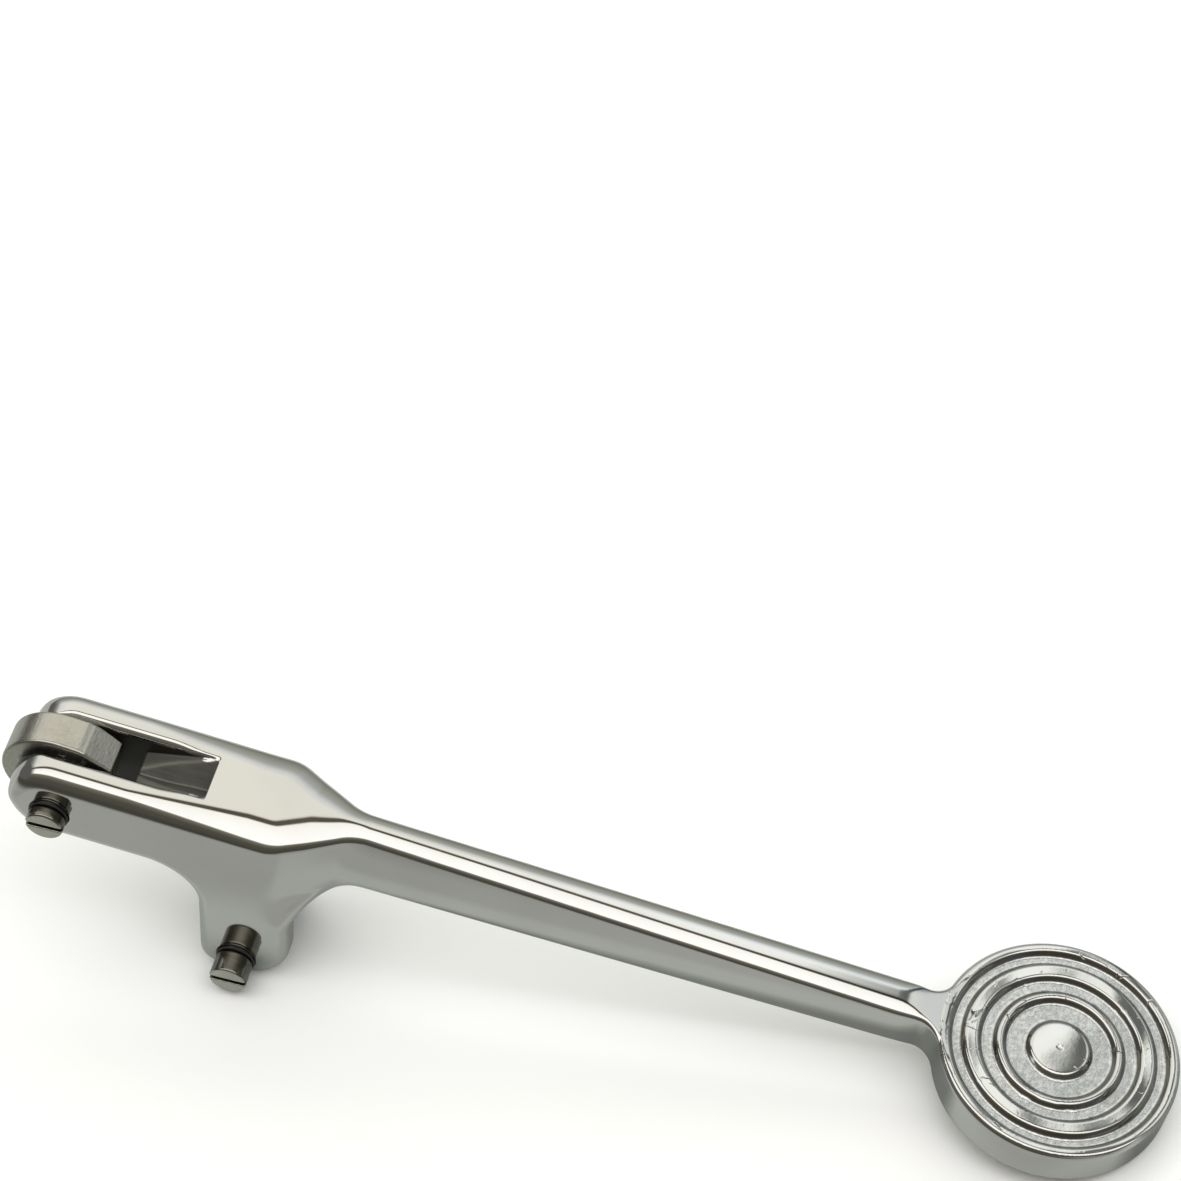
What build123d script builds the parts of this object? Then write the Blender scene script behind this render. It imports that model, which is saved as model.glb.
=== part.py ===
from build123d import *
from math import asin, atan2, cos, degrees, hypot, radians, sin, tan
import os

# A cast winch lever that stands on its lugs and on the far edge of its round pad.
# Lever coordinates: x runs along the arm from the pivot pin to the pad, y lies along
# the pins, z is square to the pad's face, and the origin is on the pivot pin's axis.
# The lever plane sets them in the part's own frame, where +Z is up, the floor is z = 0
# and the origin is under the middle of the whole part. All sizes are in millimetres.

# Fork: two cheeks round the cam
fork_width = 23.6
fork_top = 11.7  # above the pivot axis
fork_bottom = 7.5  # below the pivot axis
slot_end = 15.0  # from the pivot axis to the slot's steep end
ramp_end = 30.3  # from the pivot axis to the top of the ramp behind the slot
ramp_angle = 19.0

# Neck and arm
neck_start = 46.0  # where the sides leave the fork's width
neck_end = 61.5  # where they reach the arm's width
neck_start_radius = 9.0
neck_end_radius = 11.0
arm_width = 7.6
arm_end_drop = 4.1  # fall of the arm's top from the neck to the pad
arm_root_depth = 6.9  # arm's underside below the pivot axis, at the neck
edge_radius = 2.8  # rounding of every long outer edge
lug_blend = 13.0  # hollow curve between the lugs and the underside

# Lugs: two plates under the fork that carry the lower pin
lug_pin_x = 42.0
lug_pin_drop = 33.6
lug_left = 8.2  # from the lower pin's axis to the lug's fork side
lug_right = 9.9  # from the lower pin's axis to the lug's pad side
lug_foot = 5.6  # below the lower pin's axis
lug_lean = 4.5  # degrees that the lugs lean towards the pad
lug_heel_radius = 5.0
lug_toe_radius = 10.0
lug_slot_top = 15.0  # below the pivot axis

# Pad
pivot_to_pad = 210.0
pad_radius = 25.0
pad_thickness = 9.5
pad_face = 5.15  # above the pivot axis
pad_edge = 1.2
flare_radius = 3.5  # plan rounding where the arm meets the pad
groove_depth = 1.1
groove_wall = 0.9  # run of each sloped groove wall
boss_radius = 6.2
ring_radii = [(11.6, 13.0), (16.7, 19.6)]  # inner and outer radius of each ring's top
rim_radius = 22.7  # inner radius of the rim's top

# Pins, rings and washers
pin_radius = 4.0
pivot_pin_reach = 3.4  # past the fork's near face
lug_pin_reach = 6.0
pin_far_recess = 0.8  # the far end stops short of the far face
pin_chamfer = 0.4
driver_slot_width = 1.2
driver_slot_depth = 1.3
ring_section = 0.5
ring_groove = 0.3
ring_groove_width = 1.0
washer_thickness = 0.9
washer_radius = 7.2
washer_bore_clearance = 0.1

# Cam
cam_thickness = 8.0
cam_side_clearance = 0.2  # between the cam and each washer
cam_radius = 11.4
cam_offset_x = -1.6  # the round's centre from the pivot axis
cam_offset_z = 1.9
cam_nose = (4.4, 13.0)
cam_tail = (10.4, 9.3)
cam_bore_clearance = 0.05
cam_chamfer = 0.3

# Worked-out sizes
half_fork = fork_width / 2
half_arm = arm_width / 2
half_slot = cam_thickness / 2 + cam_side_clearance + washer_thickness
pad_underside = pad_face - pad_thickness
tip_radius = (fork_top + fork_bottom) / 2 - 0.1
arm_end_height = fork_top - arm_end_drop
lug_foot_z = -lug_pin_drop - lug_foot

# The lever stands on the lugs' round toes and on the pad's far lower edge, so its slope
# is that of the line under both rounds.
toe_x = lug_pin_x + lug_right - lug_toe_radius
toe_z = lug_foot_z + lug_toe_radius
heel_x = pivot_to_pad + pad_radius - pad_edge
heel_z = pad_underside + pad_edge
toe_to_heel = hypot(heel_x - toe_x, heel_z - toe_z)
slope = atan2(heel_z - toe_z, heel_x - toe_x) + asin((lug_toe_radius - pad_edge) / toe_to_heel)
pivot_height = heel_x * sin(slope) - heel_z * cos(slope) + pad_edge
right_end = heel_x * cos(slope) + (pad_face - pad_edge) * sin(slope) + pad_edge
left_end = cam_offset_x * cos(slope) + cam_offset_z * sin(slope) - cam_radius
pivot_x = -(left_end + right_end) / 2

lever = Plane(
    origin=(pivot_x, 0, pivot_height),
    x_dir=(cos(slope), 0, -sin(slope)),
    z_dir=(sin(slope), 0, cos(slope)),
)
side = Plane(origin=lever.origin, x_dir=lever.x_dir, z_dir=(0, -1, 0))
pad_centre = lever.from_local_coords((pivot_to_pad, 0, pad_face))
pad_plane = Plane(origin=pad_centre, x_dir=lever.x_dir, z_dir=lever.z_dir)


def in_lever(shape):
    """Middle of a shape in lever coordinates."""
    return lever.to_local_coords(shape.center())


def is_lug_foot_edge(edge):
    """True for an edge round a lug's side face, away from the block's top."""
    middle = in_lever(edge)
    return abs(middle.Y) > half_fork - 0.1 and middle.Z < lug_top_z - 0.5


def is_outline_edge(edge, least_z):
    """True for an edge that runs along a side face's outline."""
    middle = in_lever(edge)
    across = edge.geom_type == GeomType.LINE and abs((edge % 0.5).dot(lever.z_dir)) > 0.99
    return abs(middle.Y) > half_arm - 0.5 and middle.Z > least_z and not across


# Lug blank: one block with the lugs' side outline, slotted later
lean = tan(radians(lug_lean))
lug_top_z = -fork_bottom - 2
lug_rise = lug_top_z - lug_foot_z
left_foot = (lug_pin_x - lug_left, lug_foot_z)
right_foot = (lug_pin_x + lug_right, lug_foot_z)
with BuildPart() as lug_blank:
    with BuildSketch(side):
        with BuildLine():
            FilletPolyline(
                (left_foot[0] - lean * lug_rise, lug_top_z),
                left_foot,
                right_foot,
                (right_foot[0] - lean * lug_rise, lug_top_z),
                radius=[lug_heel_radius, lug_toe_radius],
            )
            Line(
                (right_foot[0] - lean * lug_rise, lug_top_z),
                (left_foot[0] - lean * lug_rise, lug_top_z),
            )
        make_face()
    extrude(amount=half_fork, both=True)
    fillet([e for e in lug_blank.edges() if is_lug_foot_edge(e)], edge_radius)

# Pad blank: a plain disc with rounded edges
with BuildPart() as pad_blank:
    with BuildSketch(pad_plane):
        Circle(pad_radius)
    extrude(amount=-pad_thickness)
    fillet(pad_blank.edges(), pad_edge)

# Lever body: fork, neck, arm, pad and lugs in one casting
arm_end_x = pivot_to_pad - pad_radius
inside_pad_x = arm_end_x + 10
root_z = -fork_bottom - lug_blend - 3
root_left = left_foot[0] - lean * (root_z - lug_foot_z)
root_right = right_foot[0] - lean * (root_z - lug_foot_z)
with BuildPart() as lever_body:
    with BuildSketch(side):
        with BuildLine():
            FilletPolyline(
                (root_left, root_z),
                (root_left - lean * (-fork_bottom - root_z), -fork_bottom),
                (-tip_radius, -fork_bottom),
                (-tip_radius, fork_top),
                (neck_end, fork_top),
                (arm_end_x - 6, arm_end_height),
                (arm_end_x + 2.5, pad_face),
                (inside_pad_x, pad_face),
                (inside_pad_x, pad_underside),
                (root_right - lean * (-arm_root_depth - root_z), -arm_root_depth),
                (root_right, root_z),
                radius=[lug_blend, tip_radius, tip_radius, 80, 14, 6, 0, 0, lug_blend],
            )
            Line((root_right, root_z), (root_left, root_z))
        make_face()
    extrude(amount=half_fork, both=True)
    with BuildSketch(lever.offset(2 * root_z)):
        with BuildLine():
            FilletPolyline(
                (-30, 0),
                (-30, half_fork),
                (neck_start, half_fork),
                (neck_end, half_arm),
                (inside_pad_x + 5, half_arm),
                (inside_pad_x + 5, 0),
                radius=[0, neck_start_radius, neck_end_radius, 0],
            )
            Line((-30, 0), (inside_pad_x + 5, 0))
        make_face()
        mirror(about=Plane.XZ)
    extrude(amount=3 * abs(root_z), mode=Mode.INTERSECT)
    fillet([e for e in lever_body.edges() if is_outline_edge(e, root_z + 0.5)], edge_radius)
    add(lug_blank.part)
    add(pad_blank.part)
    # Plan rounding in both corners between the arm and the pad
    with BuildSketch(lever.offset(pad_underside + pad_edge)):
        flare_y = half_arm + flare_radius
        flare_x = pivot_to_pad - ((pad_radius + flare_radius) ** 2 - flare_y**2) ** 0.5
        flare_sweep = 90 - degrees(atan2(flare_y, pivot_to_pad - flare_x))
        with BuildLine():
            flare = CenterArc((flare_x, flare_y), flare_radius, -90, flare_sweep)
            Polyline(flare @ 1, (pivot_to_pad, 0), (flare_x, 0), flare @ 0)
        make_face()
        mirror(about=Plane.XZ)
    extrude(amount=pad_thickness - edge_radius - pad_edge)
    # Cam slot, open at the fork's tip and underside, with a ramp up to the top
    with BuildSketch(side):
        ramp_foot = fork_top - tan(radians(ramp_angle)) * (ramp_end - slot_end)
        with BuildLine():
            Polyline(
                (ramp_end, fork_top),
                (slot_end, ramp_foot),
                (slot_end, -2 * fork_bottom),
                (-3 * tip_radius, -2 * fork_bottom),
                (-3 * tip_radius, 2 * fork_top),
                (ramp_end, 2 * fork_top),
                close=True,
            )
        make_face()
    extrude(amount=half_slot, both=True, mode=Mode.SUBTRACT)
    # Slot between the lugs, open below and at both sides
    with BuildSketch(side):
        with Locations((lug_pin_x, (-lug_slot_top + 2 * lug_foot_z) / 2)):
            Rectangle(4 * lug_right, -lug_slot_top - 2 * lug_foot_z)
    extrude(amount=half_slot, both=True, mode=Mode.SUBTRACT)
    # Pin holes through both cheeks and both lugs
    with BuildSketch(side):
        with Locations((0, 0), (lug_pin_x, -lug_pin_drop)):
            Circle(pin_radius)
    extrude(amount=fork_width, both=True, mode=Mode.SUBTRACT)
    # Sloped-walled grooves in the pad's face, turned about its centre
    with BuildSketch(Plane(origin=pad_plane.origin, x_dir=lever.x_dir, z_dir=(0, -1, 0))):
        groove_edges = [boss_radius] + [r for ring in ring_radii for r in ring] + [rim_radius]
        for inner, outer in zip(groove_edges[0::2], groove_edges[1::2]):
            with BuildLine():
                Polyline(
                    (inner, 0),
                    (inner + groove_wall, -groove_depth),
                    (outer - groove_wall, -groove_depth),
                    (outer, 0),
                    (outer, fork_top),
                    (inner, fork_top),
                    close=True,
                )
            make_face()
    revolve(axis=Axis(pad_plane.origin, lever.z_dir), mode=Mode.SUBTRACT)


def slotted_pin(x, z, reach):
    """Round pin through the lever at (x, z), with a driver slot in its near end."""
    near_face = Plane(
        origin=side.from_local_coords((x, z, half_fork)),
        x_dir=lever.x_dir,
        z_dir=(0, -1, 0),
    )
    far_face = near_face.offset(pin_far_recess - fork_width)
    with BuildPart() as pin:
        with BuildSketch(far_face):
            Circle(pin_radius)
        extrude(amount=fork_width - pin_far_recess + reach)
        chamfer(pin.edges().filter_by(GeomType.CIRCLE), pin_chamfer)
        with BuildSketch(near_face):
            Circle(pin_radius + 1)
            Circle(pin_radius - ring_groove, mode=Mode.SUBTRACT)
        extrude(amount=ring_groove_width, mode=Mode.SUBTRACT)
        with BuildSketch(near_face.offset(reach)):
            Rectangle(3 * pin_radius, driver_slot_width)
        extrude(amount=-driver_slot_depth, mode=Mode.SUBTRACT)
    return pin.part


def pin_ring(x, z):
    """Rubber ring in a pin's groove, against the near face."""
    centre = side.from_local_coords((x, z, half_fork + ring_section))
    middle_radius = pin_radius - ring_groove + ring_section
    with BuildPart() as ring:
        with BuildSketch(Plane(origin=centre, x_dir=lever.x_dir, z_dir=lever.z_dir)):
            with Locations((middle_radius, 0)):
                Circle(ring_section)
        revolve(axis=Axis(centre, (0, -1, 0)))
    return ring.part


def cam_washer(sign):
    """Thin washer between the cam and one cheek."""
    with BuildPart() as washer:
        with BuildSketch(side.offset(sign * (half_slot - washer_thickness))):
            Circle(washer_radius)
            Circle(pin_radius + washer_bore_clearance, mode=Mode.SUBTRACT)
        extrude(amount=sign * washer_thickness)
    return washer.part


# Cam: a round off the pin's centre with a flat flank, a nose and a square tail
tail_reach = hypot(cam_tail[0] - cam_offset_x, cam_tail[1] - cam_offset_z)
tail_angle = atan2(cam_tail[1] - cam_offset_z, cam_tail[0] - cam_offset_x)
touch_angle = tail_angle - atan2((tail_reach**2 - cam_radius**2) ** 0.5, cam_radius)
tail_touch = (cam_offset_x + cam_radius * cos(touch_angle), cam_offset_z + cam_radius * sin(touch_angle))
nose_reach = hypot(cam_nose[0] - cam_offset_x, cam_nose[1] - cam_offset_z)
nose_angle = atan2(cam_nose[1] - cam_offset_z, cam_nose[0] - cam_offset_x)
crown_angle = nose_angle + atan2((nose_reach**2 - cam_radius**2) ** 0.5, cam_radius)
crown = (cam_offset_x + cam_radius * cos(crown_angle), cam_offset_z + cam_radius * sin(crown_angle))
with BuildPart() as cam:
    with BuildSketch(side):
        with BuildLine():
            Polyline(crown, cam_nose, cam_tail, tail_touch)
            CenterArc(
                (cam_offset_x, cam_offset_z),
                cam_radius,
                degrees(crown_angle),
                360 - degrees(crown_angle - touch_angle),
            )
        make_face()
        Circle(pin_radius + cam_bore_clearance, mode=Mode.SUBTRACT)
    extrude(amount=cam_thickness / 2, both=True)
    rims = [e for e in cam.edges() if abs(abs(in_lever(e).Y) - cam_thickness / 2) < 0.01]
    chamfer(rims, cam_chamfer)

pieces = {
    "lever_body": lever_body.part,
    "cam": cam.part,
    "pivot_pin": slotted_pin(0, 0, pivot_pin_reach),
    "lug_pin": slotted_pin(lug_pin_x, -lug_pin_drop, lug_pin_reach),
    "pivot_pin_ring": pin_ring(0, 0),
    "lug_pin_ring": pin_ring(lug_pin_x, -lug_pin_drop),
    "cam_washer_near": cam_washer(1),
    "cam_washer_far": cam_washer(-1),
}
os.makedirs("parts", exist_ok=True)
for name, piece in pieces.items():
    piece.label = name
    export_step(piece, f"parts/{name}.step")

print("slope in degrees", round(degrees(slope), 3))
print("pivot pin axis", [round(v, 3) for v in lever.origin])
print("lug pin axis", [round(v, 3) for v in side.from_local_coords((lug_pin_x, -lug_pin_drop, 0))])
print("whole length", round(right_end - left_end, 2))
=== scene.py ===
import math

import bpy
import numpy as np
import openvdb
from mathutils import Matrix


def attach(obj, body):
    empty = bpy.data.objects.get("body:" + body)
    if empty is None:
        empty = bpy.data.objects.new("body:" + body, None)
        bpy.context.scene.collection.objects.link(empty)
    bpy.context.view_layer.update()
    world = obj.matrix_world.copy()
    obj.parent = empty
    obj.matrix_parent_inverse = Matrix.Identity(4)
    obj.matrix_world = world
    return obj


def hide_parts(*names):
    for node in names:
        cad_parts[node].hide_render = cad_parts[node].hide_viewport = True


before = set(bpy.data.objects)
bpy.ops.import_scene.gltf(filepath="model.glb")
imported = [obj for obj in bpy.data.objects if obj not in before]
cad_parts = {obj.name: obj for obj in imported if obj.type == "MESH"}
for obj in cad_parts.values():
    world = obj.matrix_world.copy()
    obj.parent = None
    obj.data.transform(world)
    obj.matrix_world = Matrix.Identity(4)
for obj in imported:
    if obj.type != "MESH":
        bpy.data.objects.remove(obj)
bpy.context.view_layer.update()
mm = 0.001

# the lever's own axes: x along the arm, y along the pins, z square to the pad, from the pivot pin
leverFrame = {
    "slope": 10.335,  # degrees that the pad's end lies lower
    "pivot": (-0.109641, 0.0, 0.046243),
}
slopeTurn = Matrix.Rotation(math.radians(leverFrame["slope"]), 4, "Y")
leverMatrix = Matrix.Translation(leverFrame["pivot"]) @ slopeTurn

camera = {
    "place": (0.13791, -0.42401, 0.67844),
    "turn": (39.2033, 2.3425, 14.5279),  # degrees
    "lens": 117.61,
    "sensor": 36,
    "nearest": 0.05,
}
cameraData = bpy.data.cameras.new("camera")
cameraData.lens = camera["lens"]
cameraData.sensor_width = camera["sensor"]
cameraData.clip_start = camera["nearest"]
cameraObject = bpy.data.objects.new("camera", cameraData)
bpy.context.collection.objects.link(cameraObject)
cameraObject.location = camera["place"]
cameraObject.rotation_euler = [math.radians(a) for a in camera["turn"]]
bpy.context.scene.camera = cameraObject
print("camera placed")


# short ways to wire nodes
def feed(tree, socket, value):
    if isinstance(value, bpy.types.NodeSocket):
        tree.links.new(value, socket)
    elif socket.type == "RGBA":
        socket.default_value = (*value, 1)
    else:
        socket.default_value = value


def addNode(tree, kind, links=(), **values):
    node = tree.nodes.new(kind)
    for key, value in values.items():
        if hasattr(node, key):
            setattr(node, key, value)
        else:
            node.inputs[key].default_value = value
    for socket, source in links:
        tree.links.new(source, node.inputs[socket])
    return node


def addMath(tree, operation, *terms, clamp=False):
    node = addNode(tree, "ShaderNodeMath", operation=operation, use_clamp=clamp)
    for socket, term in zip(node.inputs, terms):
        feed(tree, socket, term)
    return node.outputs[0]


def addStep(tree, value, low, high):
    limits = {"From Min": low, "From Max": high}
    return addNode(tree, "ShaderNodeMapRange", [("Value", value)], **limits).outputs[0]


def addRamp(tree, factor, stops):
    node = addNode(tree, "ShaderNodeValToRGB", [(0, factor)])
    ramp = node.color_ramp
    while len(ramp.elements) < len(stops):
        ramp.elements.new(0.5)
    for element, (place, colour) in zip(ramp.elements, stops):
        element.position = place
        element.color = (*colour, 1) if isinstance(colour, tuple) else (colour, colour, colour, 1)
    return node.outputs[0]


def mixColour(tree, factor, first, second, mode="MIX"):
    node = addNode(tree, "ShaderNodeMix", data_type="RGBA", blend_type=mode)
    for index, value in ((0, factor), (6, first), (7, second)):
        feed(tree, node.inputs[index], value)
    return node.outputs[2]


def mixValue(tree, factor, first, second):
    node = addNode(tree, "ShaderNodeMix", data_type="FLOAT")
    for index, value in ((0, factor), (2, first), (3, second)):
        feed(tree, node.inputs[index], value)
    return node.outputs[0]


def addMask(tree, name):
    return addNode(tree, "ShaderNodeAttribute", attribute_name=name).outputs["Fac"]


# an overhead light, a darker front, a cream board behind, and a pale floor
studio = {
    # degrees over the object from the front horizon to the back one, and the light there
    "bands": [
        (0, (0.11, 0.11, 0.09)),
        (20, (0.12, 0.115, 0.09)),
        (40, (0.21, 0.20, 0.16)),
        (53, (0.31, 0.29, 0.24)),
        (58, (0.80, 0.77, 0.70)),
        (62, (1.85, 1.85, 1.84)),
        (84, (1.75, 1.75, 1.73)),
        (103, (1.62, 1.62, 1.58)),
        (105.5, (0.14, 0.12, 0.09)),
        (113, (0.14, 0.12, 0.09)),
        (117, (1.27, 1.26, 1.13)),
        (128, (1.30, 1.30, 1.22)),
        (139, (1.05, 1.09, 1.10)),
        (150, (0.62, 0.64, 0.60)),
        (165, (0.42, 0.43, 0.38)),
        (180, (0.22, 0.22, 0.2)),
    ],
    "brightest": 2.5,  # the bands are kept as shares of this
    "dimFrom": (105.6, 111.6),  # degrees, as in bands, over which dimBehind sets in
    "dimBehind": [  # sideways reach, and the share of the board's light there
        (0.12, (1.0, 1.0, 1.0)),
        (0.19, (1.16, 1.2, 1.27)),
        (0.24, (1.14, 1.18, 1.25)),
        (0.264, (0.4, 0.42, 0.44)),
        (0.278, (0.14, 0.15, 0.16)),
        (0.33, (0.15, 0.16, 0.17)),
        (0.39, (0.85, 0.88, 0.92)),
        (1.0, (0.85, 0.88, 0.92)),
    ],
    "endLight": 0.16,  # light from both ends
    "endFrom": (0.7, 0.82),  # sideways reach over which the ends take over
    "floorSize": 6.0,
    "floorColour": (0.95, 0.95, 0.95),
    "floorRoughness": 0.9,
    # metres in front of the pins' middle, and the floor's colour as metal sees it: painted light and
    # shade on the floor, seen only in reflections
    "floorReflectionShade": [
        (0.000, (0.50, 0.53, 0.52)),
        (0.016, (0.52, 0.55, 0.54)),
        (0.020, (0.60, 0.635, 0.625)),
        (0.026, (0.58, 0.615, 0.605)),
        (0.032, (0.485, 0.51, 0.50)),
        (0.050, (0.445, 0.468, 0.455)),
        (0.070, (0.355, 0.365, 0.35)),
        (0.105, (0.10, 0.10, 0.09)),
        (0.150, (0.055, 0.055, 0.045)),
    ],
    "armShadow": 0.45,  # painted shadow: how much darker metal sees the floor beside the arm
    "armShadowFrom": (-0.055, -0.035),  # along the arm
    "armShadowReach": (0.014, 0.0195),  # to either side of the arm's middle
    "paperBoost": 0.75,  # extra light that only the paper takes
    "floorReach": 0.15,  # the last place in the reflected floor's painted shade
}


def buildWorld():
    world = bpy.data.worlds.new("studio")
    bpy.context.scene.world = world
    world.use_nodes = True
    tree = world.node_tree
    background = tree.nodes["Background"]
    direction = addNode(tree, "ShaderNodeTexCoord").outputs["Generated"]
    axes = addNode(tree, "ShaderNodeSeparateXYZ", [(0, direction)]).outputs
    front = addMath(tree, "MULTIPLY", axes["Y"], -1)
    turn = addMath(tree, "ARCTAN2", axes["Z"], front)
    share = addMath(tree, "DIVIDE", turn, math.pi, clamp=True)
    brightest = studio["brightest"]
    stops = [(angle / 180, tuple(c / brightest for c in colour)) for angle, colour in studio["bands"]]
    bands = addRamp(tree, share, stops)
    toRight = addMath(tree, "MULTIPLY", axes["X"], 1, clamp=True)
    dimming = addRamp(tree, toRight, studio["dimBehind"])
    dimmed = addNode(tree, "ShaderNodeVectorMath", [(0, bands), (1, dimming)], operation="MULTIPLY")
    behind = addStep(tree, share, *(angle / 180 for angle in studio["dimFrom"]))
    bands = mixColour(tree, behind, bands, dimmed.outputs[0])
    end = addStep(tree, addMath(tree, "ABSOLUTE", axes["X"]), *studio["endFrom"])
    light = mixColour(tree, end, bands, (studio["endLight"] / brightest,) * 3)
    tree.links.new(light, background.inputs["Color"])
    paperOnly = addNode(tree, "ShaderNodeLightPath").outputs["Is Diffuse Ray"]
    strength = addMath(tree, "MULTIPLY_ADD", paperOnly, studio["paperBoost"] * brightest, brightest)
    tree.links.new(strength, background.inputs["Strength"])


def buildFloor():
    half = studio["floorSize"] / 2
    mesh = bpy.data.meshes.new("floor")
    corners = [(-half, -half, 0), (half, -half, 0), (half, half, 0), (-half, half, 0)]
    mesh.from_pydata(corners, [], [(0, 1, 2, 3)])
    floor = bpy.data.objects.new("floor", mesh)
    bpy.context.collection.objects.link(floor)
    paint = bpy.data.materials.new("floorPaper")
    paint.use_nodes = True
    tree = paint.node_tree
    paper = tree.nodes["Principled BSDF"]
    paper.inputs["Roughness"].default_value = studio["floorRoughness"]
    place = addNode(tree, "ShaderNodeTexCoord").outputs["Object"]
    axes = addNode(tree, "ShaderNodeSeparateXYZ", [(0, place)]).outputs
    forward = addMath(tree, "MULTIPLY", axes["Y"], -1)
    share = addMath(tree, "DIVIDE", forward, studio["floorReach"], clamp=True)
    # the floor in reflections gets painted light and shade by distance in front
    stops = [(place / studio["floorReach"], colour) for place, colour in studio["floorReflectionShade"]]
    reflectedFloorShade = addRamp(tree, share, stops)
    # painted shadow of the arm on the floor, seen only in reflections
    along = addStep(tree, axes["X"], *studio["armShadowFrom"])
    shade = addMath(tree, "MULTIPLY", along, studio["armShadow"])
    away = addMath(tree, "ABSOLUTE", forward)
    beside = addMath(tree, "SUBTRACT", 1, addStep(tree, away, *studio["armShadowReach"]))
    reflectedFloorShade = mixColour(tree, addMath(tree, "MULTIPLY", shade, beside), reflectedFloorShade, (0, 0, 0))
    metalSees = addNode(tree, "ShaderNodeLightPath").outputs["Is Glossy Ray"]
    colour = mixColour(tree, metalSees, studio["floorColour"], reflectedFloorShade)
    tree.links.new(colour, paper.inputs["Base Color"])
    mesh.materials.append(paint)


buildWorld()
buildFloor()
bpy.context.scene.view_settings.view_transform = "Standard"
print("studio lit")


# shapes as distance fields: negative inside, in millimetres
fields = {
    "cornerStep": 0.5,  # between the points on an outline's rounded corner
    "outside": 4.0,  # what the grid holds where nothing is set
    "slides": 2,
    "leastSlope": 0.25,  # squared; keeps a slide short where the field is nearly flat
}


def roundedLoop(corners):
    # each corner is x, z and its radius
    loop = []
    for index, (x, z, radius) in enumerate(corners):
        here = np.array((x, z), float)
        toBack = np.array(corners[index - 1][:2]) - here
        toAhead = np.array(corners[(index + 1) % len(corners)][:2]) - here
        toBack /= np.hypot(*toBack)
        toAhead /= np.hypot(*toAhead)
        if radius == 0:
            loop.append(here)
            continue
        halfAngle = math.acos(float(toBack @ toAhead)) / 2
        inward = toBack + toAhead
        middle = here + inward / np.hypot(*inward) * radius / math.sin(halfAngle)
        start = here + toBack * radius / math.tan(halfAngle) - middle
        end = here + toAhead * radius / math.tan(halfAngle) - middle
        first = math.atan2(start[1], start[0])
        sweep = (math.atan2(end[1], end[0]) - first + math.pi) % (2 * math.pi) - math.pi
        count = max(3, int(abs(sweep) * radius / fields["cornerStep"]))
        for k in range(count + 1):
            angle = first + sweep * k / count
            loop.append(middle + radius * np.array((math.cos(angle), math.sin(angle))))
    return np.array(loop)


def loopDistance(px, pz, loop):
    best = np.full(np.broadcast(px, pz).shape, 1e9)
    inside = np.zeros(best.shape, bool)
    for a, b in zip(loop, np.roll(loop, -1, axis=0)):
        ex, ez = b - a
        wx, wz = px - a[0], pz - a[1]
        t = np.clip((wx * ex + wz * ez) / (ex * ex + ez * ez + 1e-12), 0, 1)
        best = np.minimum(best, (wx - ex * t) ** 2 + (wz - ez * t) ** 2)
        if ez != 0:
            inside ^= ((a[1] > pz) != (b[1] > pz)) & (px < ex * (pz - a[1]) / ez + a[0])
    return (np.sqrt(best) * np.where(inside, -1, 1)).astype(np.float32)


def roundMax(a, b, radius):
    out = np.hypot(np.maximum(a + radius, 0), np.maximum(b + radius, 0))
    return np.minimum(np.maximum(a + radius, b + radius), 0) + out - radius


def smoothStep(value, low, high):
    t = np.clip((value - low) / (high - low), 0, 1)
    return t * t * (3 - 2 * t)


def sampleGrid(values, points):
    low = np.clip(np.floor(points).astype(int), 0, np.array(values.shape[:3]) - 2)
    part = points - low
    total = 0
    for corner in range(8):
        step = np.array((corner >> 2 & 1, corner >> 1 & 1, corner & 1))
        weight = np.prod(np.where(step, part, 1 - part), axis=1)
        at = low + step
        got = values[at[:, 0], at[:, 1], at[:, 2]]
        total = total + (got * weight[:, None] if got.ndim == 2 else got * weight)
    return total


def fieldObject(name, field, axes):
    grid = openvdb.FloatGrid(fields["outside"])
    grid.copyFromArray(np.ascontiguousarray(field, dtype=np.float32))
    points, triangles, quads = grid.convertToPolygons(isovalue=0.0, adaptivity=0.0)
    slope = np.stack(np.gradient(field, *axes), axis=-1).astype(np.float32)
    places = points.astype(float)
    counts = [np.arange(len(axis)) for axis in axes]
    spots = np.stack([np.interp(places[:, i], counts[i], axes[i]) for i in range(3)], axis=1)
    for _ in range(fields["slides"]):  # slide each point on to the true surface
        gradient = sampleGrid(slope, places)
        size = np.maximum((gradient**2).sum(1), fields["leastSlope"])
        spots = spots - gradient * (sampleGrid(field, places) / size)[:, None]
        places = np.stack([np.interp(spots[:, i], axes[i], counts[i]) for i in range(3)], axis=1)
    normals = sampleGrid(slope, places)
    normals /= np.maximum(np.linalg.norm(normals, axis=1), 1e-6)[:, None]
    faces = [tuple(q) for q in quads] + [tuple(t) for t in triangles]
    a, b, c = (spots[quads[:, k]] for k in range(3))
    outward = (np.cross(b - a, c - a) * normals[quads[:, 0]]).sum()
    if outward < 0:
        faces = [f[::-1] for f in faces]
    mesh = bpy.data.meshes.new(name)
    mesh.from_pydata((spots * mm).tolist(), [], faces)
    turned = np.array(leverMatrix.to_3x3())
    mesh.transform(leverMatrix)
    mesh.polygons.foreach_set("use_smooth", [True] * len(mesh.polygons))
    mesh.normals_split_custom_set_from_vertices((normals @ turned.T).tolist())
    mesh.update()
    piece = bpy.data.objects.new(name, mesh)
    bpy.context.collection.objects.link(piece)
    print(name, len(mesh.polygons), "faces")
    return piece, spots


def paintMask(piece, name, values):
    layer = piece.data.attributes.new(name, "FLOAT", "POINT")
    layer.data.foreach_set("value", np.ascontiguousarray(values, dtype=np.float32))


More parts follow.
